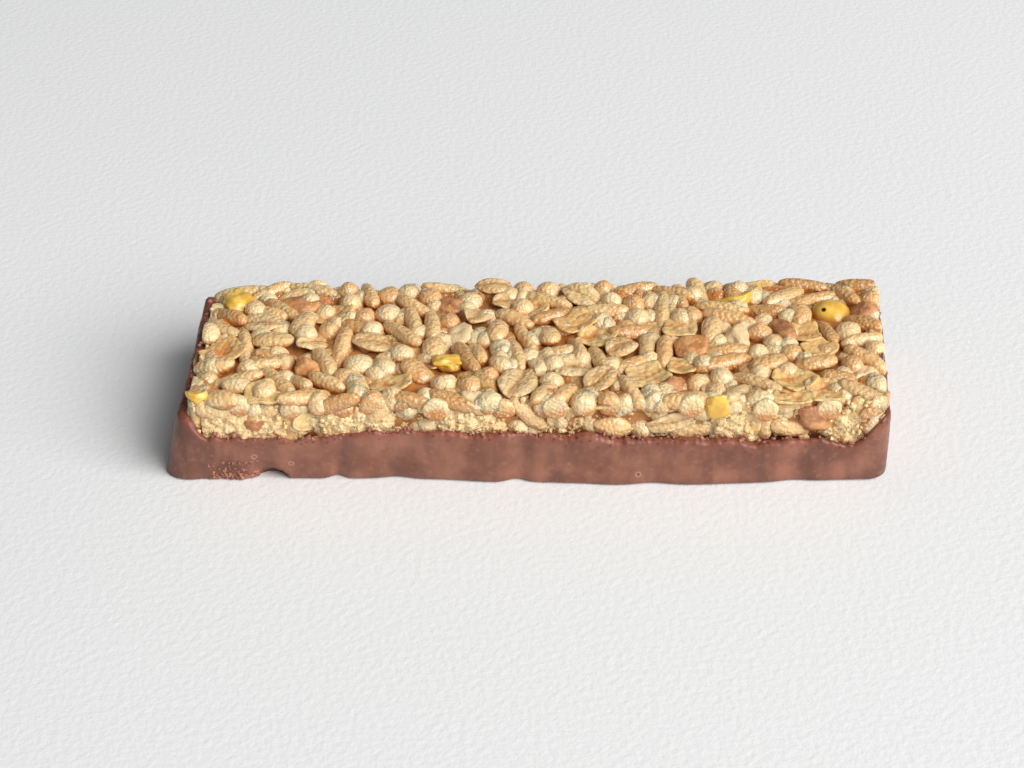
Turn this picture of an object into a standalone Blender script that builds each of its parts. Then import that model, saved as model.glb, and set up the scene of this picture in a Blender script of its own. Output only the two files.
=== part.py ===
"""A crisp cereal bar on a milk chocolate base.

Two solids make the bar. The chocolate is a shallow tray that was cast round the
bottom of the bar. The cereal slab sits in it: pressed puffed rice, crisp balls,
oat flakes, corn flakes, nut pieces and fruit, fused into one body.

Metres, +Z up. The length runs along X and the front faces -Y. The origin is the
centre of the flat underside.
"""
import math
from dataclasses import dataclass

import bmesh
import bpy
import numpy as np
from mathutils import Matrix, Vector, noise

MM = 0.001

# The slab's plan, whose four corners aren't quite square, and its pressed top
FRONT_LEFT = Vector((-50.3, -16.0)) * MM
FRONT_RIGHT = Vector((52.9, -15.6)) * MM
BACK_RIGHT = Vector((54.3, 17.1)) * MM
BACK_LEFT = Vector((-49.6, 15.3)) * MM
TOP = 15.3 * MM
CORNER_ROUND = 2.4 * MM

# The chocolate: its walls, measured outwards from the slab's sides, and its floor
WALL_OUT = 0.75 * MM
WALL_IN = -0.35 * MM
WALL_IN_AT_FLOOR = -1.3 * MM
FLOOR_THICK = 1.8 * MM
FOOT_ROUND = 0.9 * MM
FOOT_TUCK = 0.45 * MM
FOOT_BULGE = 1.8 * MM
FOOT_BULGE_X = 18.6 * MM
FOOT_BULGE_REACH = 26 * MM
LEFT_END_SPREAD = 3.8 * MM
RIM_SIDE = 8.35 * MM
RIM_FALL = 0.028
RIM_LEFT_END = 13.0 * MM
RIM_LEFT_CORNER_DROP = 2.2 * MM
RIM_RIGHT_END = 10.9 * MM
RIM_LOW = 1.8 * MM
RIM_LOW_START = (-50.4 * MM, -47.4 * MM)
RIM_LOW_END = (-33.4 * MM, -23.4 * MM)
RIM_UNEVEN = 0.55 * MM
RIPPLE = 0.34 * MM
RIPPLE_LENGTH = 9 * MM
SIDE_STEPS = 34
END_STEPS = 11
CORNER_STEPS = 5

# The scallop under the front edge, where the chocolate left a hollow
SCALLOP_AT = Vector((-38.4, -17.2, 0.0)) * MM
SCALLOP_SIZE = Vector((2.9, 3.2, 2.1)) * MM

# The slab's solid core and the gap that it keeps to the chocolate
CORE_BELOW_TOP = 1.25 * MM
CORE_INSET = 1.5 * MM
GAP = 0.3 * MM
CUTTER_OUT = 8 * MM

# How the grains lie against the top and the sides
TOP_COVER = 1.0
TOP_SEED = 11
SIDE_COVER = 0.97
SIDE_SEED = 23
SIDE_LOW = 7.0 * MM
SIDE_HIGH = 13.6 * MM
ABOVE_RIM = 0.2 * MM
DIP = 0.45 * MM
TILT = 0.07
CUT_UNEVEN = 0.35 * MM
ROUNDS = 140
EDGE_ROOM = 0.7
SLIMMER = 0.93


@dataclass(frozen=True)
class Kind:
    """One kind of grain: its share, half its length, width and height, and how much they vary."""

    name: str
    share: float
    half: tuple
    spread: float


KINDS = (
    Kind("rice", 0.42, (3.7, 1.4, 1.3), 0.14),
    Kind("ball", 0.36, (1.8, 1.75, 1.7), 0.12),
    Kind("oat", 0.08, (3.3, 2.2, 0.8), 0.15),
    Kind("corn", 0.08, (2.8, 2.2, 0.9), 0.18),
    Kind("nut", 0.06, (2.3, 1.8, 1.3), 0.2),
)

# Pieces that stand out: kind, place along and across in mm, turn in degrees, half sizes in mm
ON_TOP = (
    ("fruit", 46.4, 8.9, 0, (2.9, 2.8, 2.6)),
    ("nut", -34.6, 10.9, 0, (3.3, 2.7, 1.7)),
    ("nut", -12.6, 9.3, 0, (2.4, 1.8, 1.4)),
    ("nut", 24.2, -1.3, 30, (2.8, 2.5, 1.6)),
    ("nut", 51.8, 8.7, 0, (1.9, 2.0, 1.4)),
    ("nut", 38.1, 3.9, -68, (3.4, 1.4, 1.3)),
    ("oat", -41.2, 4.6, -17, (3.7, 2.2, 0.9)),
    ("oat", -33.0, -0.4, 40, (2.9, 2.0, 0.9)),
    ("oat", -23.7, -0.3, 0, (3.3, 2.4, 0.9)),
    ("oat", 8.0, 12.7, -34, (3.5, 2.3, 1.0)),
    ("oat", 6.8, -6.7, 0, (3.4, 2.7, 0.9)),
    ("oat", -7.9, 7.3, 60, (3.0, 2.6, 0.9)),
    ("oat", -1.4, -10.7, 70, (4.0, 3.2, 1.0)),
    ("corn", 31.6, 11.7, 10, (3.6, 1.4, 1.0)),
    ("corn", -45.4, 10.9, 0, (2.3, 2.6, 1.3)),
    ("corn", 17.6, -8.7, 20, (2.8, 2.5, 0.9)),
    ("corn", -12.0, -5.5, 0, (2.7, 1.8, 0.9)),
    ("rice", 29.0, -5.3, 17, (4.3, 1.5, 1.4)),
    ("rice", -19.4, 2.3, -49, (4.2, 1.4, 1.3)),
    ("rice", 20.6, 9.1, 88, (4.3, 1.5, 1.4)),
)
ON_FRONT = (
    ("corn", 27.8, 11.8, 0, (2.3, 1.8, 1.2)),
    ("corn", 30.6, 9.4, 10, (3.3, 1.7, 0.9)),
    ("nut", 42.6, 10.8, 0, (3.6, 2.2, 1.2)),
    ("corn", -31.8, 9.8, 0, (2.7, 1.6, 0.9)),
    ("oat", 20.8, 9.6, 10, (3.6, 1.8, 0.9)),
)


@dataclass(frozen=True)
class Face:
    """A flat face that grains lie against: its frame, whose Z points out, and its edges in that frame."""

    frame: Matrix
    edges: tuple
    low: Vector
    high: Vector


@dataclass(frozen=True)
class Grain:
    """A grain as it lies: its kind, its placing from a unit shape, and how far it may pass the cut sides."""

    kind: str
    placing: Matrix
    trim: float


def smooth(start, end, value):
    """0 before start, 1 after end, easing in between."""
    t = min(max((value - start) / (end - start), 0), 1)
    return t * t * (3 - 2 * t)


def plan_sides():
    """The slab's four sides, anticlockwise from the front: start, end and outward normal."""
    corners = (FRONT_LEFT, FRONT_RIGHT, BACK_RIGHT, BACK_LEFT)
    sides = []
    for start, end in zip(corners, corners[1:] + corners[:1]):
        along = (end - start).normalized()
        sides.append((start, end, Vector((along.y, -along.x))))
    return sides


def corners_in(inset):
    """The plan's corners moved in by an inset, each with the normals of the sides that meet there."""
    sides = plan_sides()
    corners = []
    for i, (start, _, normal) in enumerate(sides):
        before = sides[i - 1][2]
        corners.append((start - inset * (before + normal) / (1 + before.dot(normal)), before, normal))
    return corners


def outline():
    """Points round the slab's plan with rounded corners, each with its outward normal."""
    arcs = corners_in(CORNER_ROUND)
    points = []
    for i, (centre, before, normal) in enumerate(arcs):
        for k in range(CORNER_STEPS):
            direction = before.slerp(normal, k / CORNER_STEPS)
            points.append((centre + CORNER_ROUND * direction, direction))
        next_centre = arcs[(i + 1) % 4][0]
        steps = SIDE_STEPS if i % 2 == 0 else END_STEPS
        for k in range(steps):
            points.append((centre.lerp(next_centre, k / steps) + CORNER_ROUND * normal, normal))
    return points


def cut_back(point, trim):
    """Moves a point that lies outside the slab back to its sides, its round corners and its top."""
    at = point.xy
    for start, _, normal in plan_sides():
        at -= normal * max((at - start).dot(normal) - trim, 0)
    for centre, before, normal in corners_in(CORNER_ROUND):
        arm = at - centre
        if arm.dot(before) > 0 and arm.dot(normal) > 0 and arm.length > CORNER_ROUND + trim:
            at = centre + arm.normalized() * (CORNER_ROUND + trim)
    return Vector((*at, min(point.z, TOP)))


def rim_height(at, normal):
    """How high the chocolate climbs: low along the sides, high at the ends."""
    height = RIM_SIDE - RIM_FALL * at.x
    if normal.y < 0:
        height -= RIM_LOW * (smooth(*RIM_LOW_START, at.x) - smooth(*RIM_LOW_END, at.x))
    left_end = RIM_LEFT_END - RIM_LEFT_CORNER_DROP * smooth(-6 * MM, -16 * MM, at.y)
    height += (left_end - height) * max(0, -normal.x) ** 2
    height += (RIM_RIGHT_END - height) * smooth(FRONT_RIGHT.x - 5 * MM, FRONT_RIGHT.x, at.x)
    return height + RIM_UNEVEN * noise.noise(Vector((at.x, at.y, 0)) / (4 * MM))


def wall_out(at, normal, height):
    """How far the chocolate's outer face stands out from the slab's side at a height."""
    low = 1 - height / TOP
    bulge = FOOT_BULGE * math.exp(-(((at.x - FOOT_BULGE_X) / FOOT_BULGE_REACH) ** 2))
    left = max(0, -normal.x) ** 3 * LEFT_END_SPREAD
    front = max(0, -normal.y) * (bulge - FOOT_TUCK)
    ripple = RIPPLE * noise.noise(Vector((at.x, at.y, 0.6 * height)) / RIPPLE_LENGTH)
    return WALL_OUT + low * (left + front) + ripple


def tray_section(at, normal):
    """The tray's wall from under its foot, over the rim, to the inside of its floor: (offset, height)."""
    rim = rim_height(at, normal)
    foot = wall_out(at, normal, 0)
    lip = wall_out(at, normal, rim)
    return (
        (foot - FOOT_ROUND, 0),
        (foot - 0.25 * FOOT_ROUND, 0.22 * FOOT_ROUND),
        (foot, FOOT_ROUND),
        (wall_out(at, normal, 0.5 * rim), 0.5 * rim),
        (lip, rim - 0.6 * MM),
        (0.55 * lip, rim),
        (WALL_IN, rim - 0.25 * MM),
        (WALL_IN_AT_FLOOR, FLOOR_THICK),
    )


def cutter_section(at, normal):
    """A tray that is larger than the chocolate by the gap, and takes away what would touch it."""
    rim = rim_height(at, normal) + GAP
    return (
        (CUTTER_OUT, -CUTTER_OUT),
        (CUTTER_OUT, rim),
        (WALL_IN - GAP, rim),
        (WALL_IN_AT_FLOOR - GAP, FLOOR_THICK + GAP),
    )


def new_object(name, bm):
    """Makes a named object of a bmesh."""
    mesh = bpy.data.meshes.new(name)
    bm.to_mesh(mesh)
    bm.free()
    made = bpy.data.objects.new(name, mesh)
    bpy.context.scene.collection.objects.link(made)
    return made


def tray(name, section):
    """A closed tray with that wall section all the way round."""
    bm = bmesh.new()
    columns = []
    for at, normal in outline():
        column = [bm.verts.new((*(at + normal * offset), height)) for offset, height in section(at, normal)]
        columns.append(column)
    for here, there in zip(columns, columns[1:] + columns[:1]):
        for low_here, high_here, low_there, high_there in zip(here, here[1:], there, there[1:]):
            bm.faces.new((low_here, low_there, high_there, high_here))
    bm.faces.new([column[0] for column in reversed(columns)])
    bm.faces.new([column[-1] for column in columns])
    bmesh.ops.triangulate(bm, faces=bm.faces)
    return new_object(name, bm)


def top_face():
    """The pressed top, bounded by the slab's four sides."""
    edges = tuple((start, normal) for start, _, normal in plan_sides())
    return Face(Matrix.Translation((0, 0, TOP)), edges, FRONT_LEFT, BACK_RIGHT)


def side_face(side):
    """The strip of a side that shows above the chocolate, with its places along it counted from X 0."""
    start, end, normal = side
    along = (end - start).normalized()
    foot = start - along * start.dot(along)
    frame = Matrix((
        (along.x, 0, normal.x, foot.x),
        (along.y, 0, normal.y, foot.y),
        (0, 1, 0, 0),
        (0, 0, 0, 1),
    ))
    low = Vector((start.dot(along), SIDE_LOW))
    high = Vector((end.dot(along), SIDE_HIGH))
    edges = ((low, Vector((-1, 0))), (low, Vector((0, -1))), (high, Vector((1, 0))), (high, Vector((0, 1))))
    return Face(frame, edges, low, high)


def settle(face, centres, turns, halves, loose):
    """Pushes grains apart and turns them until they lie side by side, each taken as three discs in a row."""
    rows = np.array([-1.0, 0.0, 1.0])
    owner = np.repeat(np.arange(len(centres)), len(rows))
    radius = halves[:, 1]
    reach = halves[:, 0] - radius
    wanted = radius[owner][:, None] + radius[owner][None, :]
    apart = owner[:, None] != owner[None, :]
    for _ in range(ROUNDS):
        along = np.stack([np.cos(turns), np.sin(turns)], 1)
        arms = (along[:, None, :] * (reach[:, None] * rows)[:, :, None]).reshape(-1, 2)
        discs = centres[owner] + arms
        gaps = discs[:, None, :] - discs[None, :, :]
        distance = np.hypot(gaps[..., 0], gaps[..., 1]) + 1e-9
        overlap = np.where(apart, np.maximum(wanted - distance, 0), 0)
        push = (gaps / distance[..., None] * overlap[..., None]).sum(1) * 0.5
        for point, normal in face.edges:
            outside = (discs - np.array(point)) @ np.array(normal) + EDGE_ROOM * radius[owner]
            push -= np.outer(np.maximum(outside, 0), np.array(normal))
        twist = arms[:, 0] * push[:, 1] - arms[:, 1] * push[:, 0]
        shift = np.stack([np.bincount(owner, push[:, axis]) for axis in (0, 1)], 1) / 2
        turning = np.bincount(owner, twist) / (4 * (reach**2 + radius**2))
        centres[loose] += shift[loose]
        turns[loose] += turning[loose]


def draw_grains(face, cover, seed, standing_out=()):
    """Grains that lie against a face. Those that stand out stay where they are."""
    rng = np.random.default_rng(seed)
    names = [name for name, *_ in standing_out]
    places = [(x * MM, y * MM) for _, x, y, *_ in standing_out]
    turns = [math.radians(turn) for *_, turn, _ in standing_out]
    halves = [np.array(half) * MM for *_, half in standing_out]
    width, height = face.high - face.low
    room = cover * width * height - sum(4 * half[0] * half[1] for half in halves)
    shares = [kind.share for kind in KINDS]
    while room > 0:
        kind = KINDS[rng.choice(len(KINDS), p=shares)]
        half = np.array(kind.half) * MM * (1 + kind.spread * rng.uniform(-1, 1, 3))
        names.append(kind.name)
        halves.append(half)
        count = len(halves)
        places.append((face.low.x + width * (0.7549 * count % 1), face.low.y + height * (0.5698 * count % 1)))
        turns.append(rng.uniform(0, math.pi))
        room -= 4 * half[0] * half[1]
    centres, turns, halves = np.array(places), np.array(turns), np.array(halves)
    settle(face, centres, turns, halves, np.arange(len(names)) >= len(standing_out))
    grains = []
    for name, (x, y), turn, half in zip(names, centres, turns, halves):
        depth = half[2] + rng.uniform(0, DIP)
        placing = face.frame @ Matrix.Translation((x, y, -depth)) @ Matrix.Rotation(turn, 4, "Z")
        placing = placing @ Matrix.Rotation(rng.normal(0, TILT), 4, "Y")
        sizes = Matrix.Diagonal((half[0] * SLIMMER, half[1] * SLIMMER, half[2], 1))
        grains.append(Grain(name, placing @ sizes, rng.uniform(-CUT_UNEVEN, CUT_UNEVEN)))
    return grains


def all_grains():
    """The grains of the top, and those of the sides that stand clear of the chocolate."""
    grains = draw_grains(top_face(), TOP_COVER, TOP_SEED, ON_TOP)
    for i, side in enumerate(plan_sides()):
        standing_out = ON_FRONT if i == 0 else ()
        for grain in draw_grains(side_face(side), SIDE_COVER, SIDE_SEED + i, standing_out):
            centre = grain.placing.translation
            if centre.z > rim_height(centre, side[2]) + ABOVE_RIM:
                grains.append(grain)
    return grains


def unit_shape(kind):
    """A low shape of unit half sizes for a kind of grain."""
    bm = bmesh.new()
    if kind == "fruit":
        bmesh.ops.create_icosphere(bm, subdivisions=2, radius=1)
    elif kind in ("ball", "nut"):
        bmesh.ops.create_icosphere(bm, subdivisions=1, radius=1.12)
    elif kind == "rice":
        bmesh.ops.create_uvsphere(bm, u_segments=5, v_segments=4, radius=1.1)
        bmesh.ops.rotate(bm, verts=bm.verts, matrix=Matrix.Rotation(math.pi / 2, 3, "Y"))
    else:
        bmesh.ops.create_uvsphere(bm, u_segments=6, v_segments=3, radius=1.1)
    return bm


def grain_object(grain, number):
    """A grain's low solid, lumpy in its own way, and cut back to the slab's sides and top."""
    bm = unit_shape(grain.kind)
    lump = 0.05 if grain.kind == "fruit" else 0.16
    seat = Vector((number, 0.37 * number, 0))
    for vert in bm.verts:
        vert.co *= 1 + lump * noise.noise(vert.co * 1.4 + seat)
    bmesh.ops.transform(bm, matrix=grain.placing, verts=bm.verts)
    for vert in bm.verts:
        vert.co = cut_back(vert.co, grain.trim)
    return new_object(f"grain_{number}", bm)


def core():
    """The solid middle of the slab, which the grains are fused to."""
    bm = bmesh.new()
    low, high = [], []
    for corner, _, _ in corners_in(CORE_INSET):
        low.append(bm.verts.new((*corner, FLOOR_THICK)))
        high.append(bm.verts.new((*corner, TOP - CORE_BELOW_TOP)))
    bm.faces.new(low[::-1])
    bm.faces.new(high)
    for i in range(4):
        j = (i + 1) % 4
        bm.faces.new((low[i], low[j], high[j], high[i]))
    return new_object("cereal_slab", bm)


def apply_boolean(target, operation, operand):
    """Joins a collection to the target, or takes an object away from it, and removes what was used."""
    modifier = target.modifiers.new("joined", "BOOLEAN")
    modifier.operation = operation
    modifier.solver = "MANIFOLD"
    if isinstance(operand, bpy.types.Collection):
        modifier.operand_type = "COLLECTION"
        modifier.collection = operand
        used = list(operand.objects)
    else:
        modifier.object = operand
        used = [operand]
    depsgraph = bpy.context.evaluated_depsgraph_get()
    result = bpy.data.meshes.new_from_object(target.evaluated_get(depsgraph))
    target.modifiers.clear()
    target.data = result
    for piece in used:
        bpy.data.objects.remove(piece)


def keep_outer_shell(target):
    """Drops loose scraps and sealed hollows, so that one closed body is left."""
    bm = bmesh.new()
    bm.from_mesh(target.data)
    unseen = set(bm.faces)
    shells = []
    while unseen:
        stack = [unseen.pop()]
        shell = set(stack)
        while stack:
            for edge in stack.pop().edges:
                for face in edge.link_faces:
                    if face in unseen:
                        unseen.remove(face)
                        shell.add(face)
                        stack.append(face)
        shells.append(shell)
    largest = max(shells, key=len)
    scraps = [face for shell in shells if shell is not largest for face in shell]
    bmesh.ops.delete(bm, geom=scraps, context="FACES")
    bm.to_mesh(target.data)
    bm.free()


def cereal_slab():
    """The core with every grain that shows fused on, cut clear of the chocolate."""
    slab = core()
    heap = bpy.data.collections.new("grains")
    bpy.context.scene.collection.children.link(heap)
    for number, grain in enumerate(all_grains()):
        piece = grain_object(grain, number)
        bpy.context.scene.collection.objects.unlink(piece)
        heap.objects.link(piece)
    apply_boolean(slab, "UNION", heap)
    bpy.data.collections.remove(heap)
    apply_boolean(slab, "DIFFERENCE", tray("tray_cutter", cutter_section))
    keep_outer_shell(slab)
    return slab


def chocolate_base():
    """The tray, with the scallop under its front edge."""
    base = tray("chocolate_base", tray_section)
    bm = bmesh.new()
    bmesh.ops.create_uvsphere(bm, u_segments=12, v_segments=8, radius=1)
    placing = Matrix.Translation(SCALLOP_AT) @ Matrix.Diagonal((*SCALLOP_SIZE, 1))
    bmesh.ops.transform(bm, matrix=placing, verts=bm.verts)
    apply_boolean(base, "DIFFERENCE", new_object("scallop_cutter", bm))
    return base


def finish(target, colour, roughness):
    """Gives a solid its material and shading."""
    material = bpy.data.materials.new(target.name)
    material.use_nodes = True
    shader = material.node_tree.nodes["Principled BSDF"]
    shader.inputs["Base Color"].default_value = (*colour, 1)
    shader.inputs["Roughness"].default_value = roughness
    target.data.materials.clear()
    target.data.materials.append(material)
    target.data.shade_smooth()
    target.data.set_sharp_from_angle(angle=math.radians(35))


def main():
    for old in list(bpy.data.objects):
        bpy.data.objects.remove(old)
    finish(cereal_slab(), (0.72, 0.53, 0.28), 0.5)
    finish(chocolate_base(), (0.22, 0.09, 0.06), 0.42)


main()
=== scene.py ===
"""A crisp cereal bar on milk chocolate, lying on pale paper by a window.

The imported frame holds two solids, the cereal slab and the chocolate base. The slab
is replaced by real grains over a syrup core, one piece for each kind, and the base
by a coat with its ripples, crumbly rim and scallop.
"""

import math
from dataclasses import dataclass

import bmesh
import bpy
import numpy as np
from mathutils import Matrix, Vector, noise


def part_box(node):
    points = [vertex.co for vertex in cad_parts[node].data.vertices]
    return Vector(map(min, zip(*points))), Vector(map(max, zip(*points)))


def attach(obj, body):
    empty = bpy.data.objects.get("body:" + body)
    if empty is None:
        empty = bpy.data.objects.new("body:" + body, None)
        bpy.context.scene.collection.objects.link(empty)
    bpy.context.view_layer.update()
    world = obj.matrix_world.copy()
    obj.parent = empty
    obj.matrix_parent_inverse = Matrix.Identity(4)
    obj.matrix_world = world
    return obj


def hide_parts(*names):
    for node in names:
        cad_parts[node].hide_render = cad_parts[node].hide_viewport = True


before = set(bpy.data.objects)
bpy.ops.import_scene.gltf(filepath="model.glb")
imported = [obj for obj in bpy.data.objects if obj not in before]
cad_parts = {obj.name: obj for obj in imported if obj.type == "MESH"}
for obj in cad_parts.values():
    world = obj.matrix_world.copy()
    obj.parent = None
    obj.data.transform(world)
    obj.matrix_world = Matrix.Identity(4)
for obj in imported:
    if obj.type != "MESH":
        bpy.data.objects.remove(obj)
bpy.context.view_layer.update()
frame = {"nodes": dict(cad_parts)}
MM = 0.001

# The slab's plan and its pressed top, as in the part
FRONT_LEFT = Vector((-50.3, -16.0)) * MM
FRONT_RIGHT = Vector((52.9, -15.6)) * MM
BACK_RIGHT = Vector((54.3, 17.1)) * MM
BACK_LEFT = Vector((-49.6, 15.3)) * MM
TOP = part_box("cereal_slab")[1].z
CORNER_ROUND = 2.4 * MM

# The chocolate's walls, measured outwards from the slab's sides, as in the part
WALL_OUT = 0.75 * MM
WALL_IN = -0.35 * MM
FOOT_ROUND = 0.9 * MM
FOOT_TUCK = 0.45 * MM
FOOT_BULGE = 1.8 * MM
FOOT_BULGE_X = 18.6 * MM
FOOT_BULGE_REACH = 26 * MM
LEFT_END_SPREAD = 3.8 * MM
RIM_SIDE = 8.35 * MM
RIM_FALL = 0.028
RIM_LEFT_END = 13.0 * MM
RIM_LEFT_CORNER_DROP = 2.2 * MM
RIM_RIGHT_END = 10.9 * MM
RIM_LOW = 1.8 * MM
RIM_LOW_START = (-50.4 * MM, -47.4 * MM)
RIM_LOW_END = (-33.4 * MM, -23.4 * MM)
RIM_UNEVEN = 0.55 * MM
RIM_BAND = 2.2 * MM
RIM_TEETH = ((3.3, 0.8), (1.7, 0.3), (0.55, 0.25))
COAT_STEPS = (400, 120, 16)
WALL_ROWS = 14
RIPPLE = 0.34 * MM
RIPPLE_LENGTH = 9 * MM
SCALLOP_AT = Vector((-38.4, -17.2, 0.0)) * MM
SCALLOP_SIZE = Vector((2.9, 3.2, 2.1)) * MM

# Soft folds down the chocolate's front: place along the bar, depth and half width in mm
FOLDS = (
    (-39.8, 0.7, 1.7),
    (-28.4, 0.95, 1.3),
    (-19.4, 0.5, 2.2),
    (-1.6, 0.9, 1.8),
    (9.1, 0.3, 3.0),
    (19.0, 0.5, 3.0),
    (39.6, 0.45, 2.6),
)

# The syrup core under the grains
CORE_BELOW_TOP = 2.3 * MM
CORE_INSET = 1.3 * MM
CORE_FOOT = 2.2 * MM

# How the grains lie: a layer that shows and one behind it, then what both share
LAYERS = (
    {"sink": 0.0, "cover": 1.0, "side_cover": 0.97, "seed": 11, "grow": 1.15},
    {"sink": 0.8 * MM, "cover": 1.3, "side_cover": 1.1, "seed": 51, "grow": 1.06},
)
BALL_SHARE_OF_NUTS = 0.55
PUFF_SHARE_OF_OATS = 0.75
BALL_SHARE_BEHIND = 0.6
BALL_BEHIND = 1.9 * MM
SKIN_TONE = 0.65
# Painted light: the grains of the cut sides get a paler tone, for the window's light on them.
SIDE_TONE_PAINTED_LIGHT = 0.4
SIDE_LOW = 7.0 * MM
SIDE_HIGH = 13.6 * MM
BELOW_RIM = 1.6 * MM
DIP = 0.5 * MM
TILT = 0.15
CUT_UNEVEN = 0.35 * MM
ROUNDS = 140
EDGE_ROOM = 0.7
DEEP = 2.6 * MM

# Where the back and the ends have no flakes, whose thin edge would stand up over the top
FLAKES_BELOW = 10.0 * MM

# The photograph's camera, in degrees and metres
CAMERA_AIM = Vector((-2.95, 8.4, 0)) * MM
CAMERA_DISTANCE = 0.3789
CAMERA_ELEVATION = 35.62
CAMERA_YAW = 1.98
CAMERA_ROLL = -1.17
CAMERA_LENS = 84.4

# The window: its direction in degrees, its distance and width in metres, and its power
WINDOW_AZIMUTH = -35
WINDOW_ELEVATION = 38
WINDOW_DISTANCE = 2.3
WINDOW_SIZE = 1.96
WINDOW_POWER = 80.0
ROOM_LIGHT = 0.15


@dataclass(frozen=True)
class Kind:
    """One kind of grain: its share, half its length, width and height in mm, and how much they vary."""

    name: str
    share: float
    half: tuple
    spread: float


KINDS = (
    Kind("rice", 0.42, (3.7, 1.4, 1.3), 0.14),
    Kind("ball", 0.36, (1.8, 1.75, 1.7), 0.12),
    Kind("oat", 0.08, (3.3, 2.2, 0.8), 0.15),
    Kind("corn", 0.08, (2.8, 2.2, 0.9), 0.18),
    Kind("nut", 0.06, (2.3, 1.8, 1.3), 0.2),
)

# Loose crumbs: how many, and where along the front and around what point the foot is scuffed
CRUMBS_ON_CUT = 170
CRUMBS_ON_SIDES = 120
RIM_CRUMBS = 260
SCUFF_CRUMBS = 460
SCUFF = (-48.0, -40.4)
SCUFF_AT = Vector((-44.2, -17.4, 1.2)) * MM

# The porous crumb of the cut sides: its mesh, and the places along the front that it fills,
# each with its centre and half width in mm
CRUMB_STEP = 0.2 * MM
CRUMB_ROWS = 30
CRUMB_SINK = 1.5 * MM
CRUMB_BELOW_TOP = 1.9 * MM
CRUMBLY = ((-43.5, 7.5), (-26.0, 5.0), (-8.6, 4.5), (30.5, 3.0), (48.5, 4.0))

# The candied ball's place, the hollow it sits in, and its dark speck, seen from its centre
BALL_AT = Vector((46.4, 8.9)) * MM
BALL_HOLLOW = 0.8 * MM
BALL_HOLLOW_REACH = (5.6 * MM, 4.0 * MM)
SPECK_AWAY = Vector((-1.2, -1.2, 2.5)) * MM
SPECK_RADIUS = 0.36 * MM

# Pieces that stand out: kind, place along and across in mm, turn in degrees, half sizes in mm
ON_TOP = (
    ("fruit", 46.4, 8.9, 0, (2.9, 2.8, 2.6)),
    ("nut", -34.6, 10.9, 0, (3.3, 2.7, 1.7)),
    ("nut", -12.6, 9.3, 0, (2.4, 1.8, 1.4)),
    ("nut", 24.2, -1.3, 30, (2.8, 2.5, 1.6)),
    ("nut", 51.8, 8.7, 0, (1.9, 2.0, 1.4)),
    ("nut", 38.1, 3.9, -68, (3.4, 1.4, 1.3)),
    ("oat", -41.2, 4.6, -17, (3.7, 2.2, 0.9)),
    ("oat", -33.0, -0.4, 40, (2.9, 2.0, 0.9)),
    ("oat", -23.7, -0.3, 0, (3.3, 2.4, 0.9)),
    ("oat", 8.0, 12.7, -34, (3.5, 2.3, 1.0)),
    ("oat", 6.8, -6.7, 0, (3.4, 2.7, 0.9)),
    ("oat", -7.9, 7.3, 60, (3.0, 2.6, 0.9)),
    ("oat", -1.4, -10.7, 70, (4.0, 3.2, 1.0)),
    ("yellow", 31.6, 11.7, 6, (3.9, 1.5, 1.1)),
    ("yellow", -45.4, 10.9, 0, (2.3, 2.6, 1.3)),
    ("corn", 17.6, -8.7, 20, (2.8, 2.5, 0.9)),
    ("yellow", -12.0, -5.5, 0, (2.1, 1.4, 0.9)),
    ("rice", 29.0, -5.3, 17, (4.3, 1.5, 1.4)),
    ("rice", -19.4, 2.3, -49, (4.2, 1.4, 1.3)),
    ("rice", 20.6, 9.1, 88, (4.3, 1.5, 1.4)),
)
ON_FRONT = (
    ("yellow", 27.8, 11.8, 0, (2.3, 1.8, 1.2)),
    ("corn", 30.6, 9.4, 10, (3.3, 1.7, 0.9)),
    ("nut", 42.6, 10.8, 0, (3.6, 2.2, 1.2)),
    ("corn", -31.8, 9.8, 0, (2.7, 1.6, 0.9)),
    ("oat", 20.8, 9.6, 10, (3.6, 1.8, 0.9)),
)

# Bits that lie over the others at the front's top edge: kind, place in mm, half sizes in mm
AT_EDGE = (
    ("yellow", (-48.6, -14.7, 14.5), (2.0, 1.0, 0.7)),
    ("yellow", (28.0, -15.1, 12.9), (2.4, 1.2, 1.9)),
)


@dataclass(frozen=True)
class Face:
    """A flat face that grains lie against: its frame, whose Z points out, and its edges in that frame."""

    frame: Matrix
    edges: tuple
    low: Vector
    high: Vector


@dataclass(frozen=True)
class Grain:
    """A grain as it lies: its half sizes, how far it may pass the cut sides, and its tone from 0 to 1."""

    kind: str
    placing: Matrix
    half: Vector
    trim: float
    tone: float


def smooth(start, end, value):
    """0 before start, 1 after end, easing in between."""
    t = min(max((value - start) / (end - start), 0), 1)
    return t * t * (3 - 2 * t)


def plan_sides():
    """The slab's four sides, anticlockwise from the front: start, end and outward normal."""
    corners = (FRONT_LEFT, FRONT_RIGHT, BACK_RIGHT, BACK_LEFT)
    sides = []
    for start, end in zip(corners, corners[1:] + corners[:1]):
        along = (end - start).normalized()
        sides.append((start, end, Vector((along.y, -along.x))))
    return sides


def corners_in(inset):
    """The plan's corners moved in by an inset, each with the normals of the sides that meet there."""
    sides = plan_sides()
    corners = []
    for i, (start, _, normal) in enumerate(sides):
        before = sides[i - 1][2]
        corners.append((start - inset * (before + normal) / (1 + before.dot(normal)), before, normal))
    return corners


SIDES = plan_sides()
ARCS = corners_in(CORNER_ROUND)


def outline(side_steps, end_steps, corner_steps):
    """Points round the slab's plan with rounded corners, each with its outward normal."""
    points = []
    for i, (centre, before, normal) in enumerate(ARCS):
        for k in range(corner_steps):
            direction = before.slerp(normal, k / corner_steps)
            points.append((centre + CORNER_ROUND * direction, direction))
        next_centre = ARCS[(i + 1) % 4][0]
        steps = side_steps if i % 2 == 0 else end_steps
        for k in range(steps):
            points.append((centre.lerp(next_centre, k / steps) + CORNER_ROUND * normal, normal))
    return points


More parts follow.
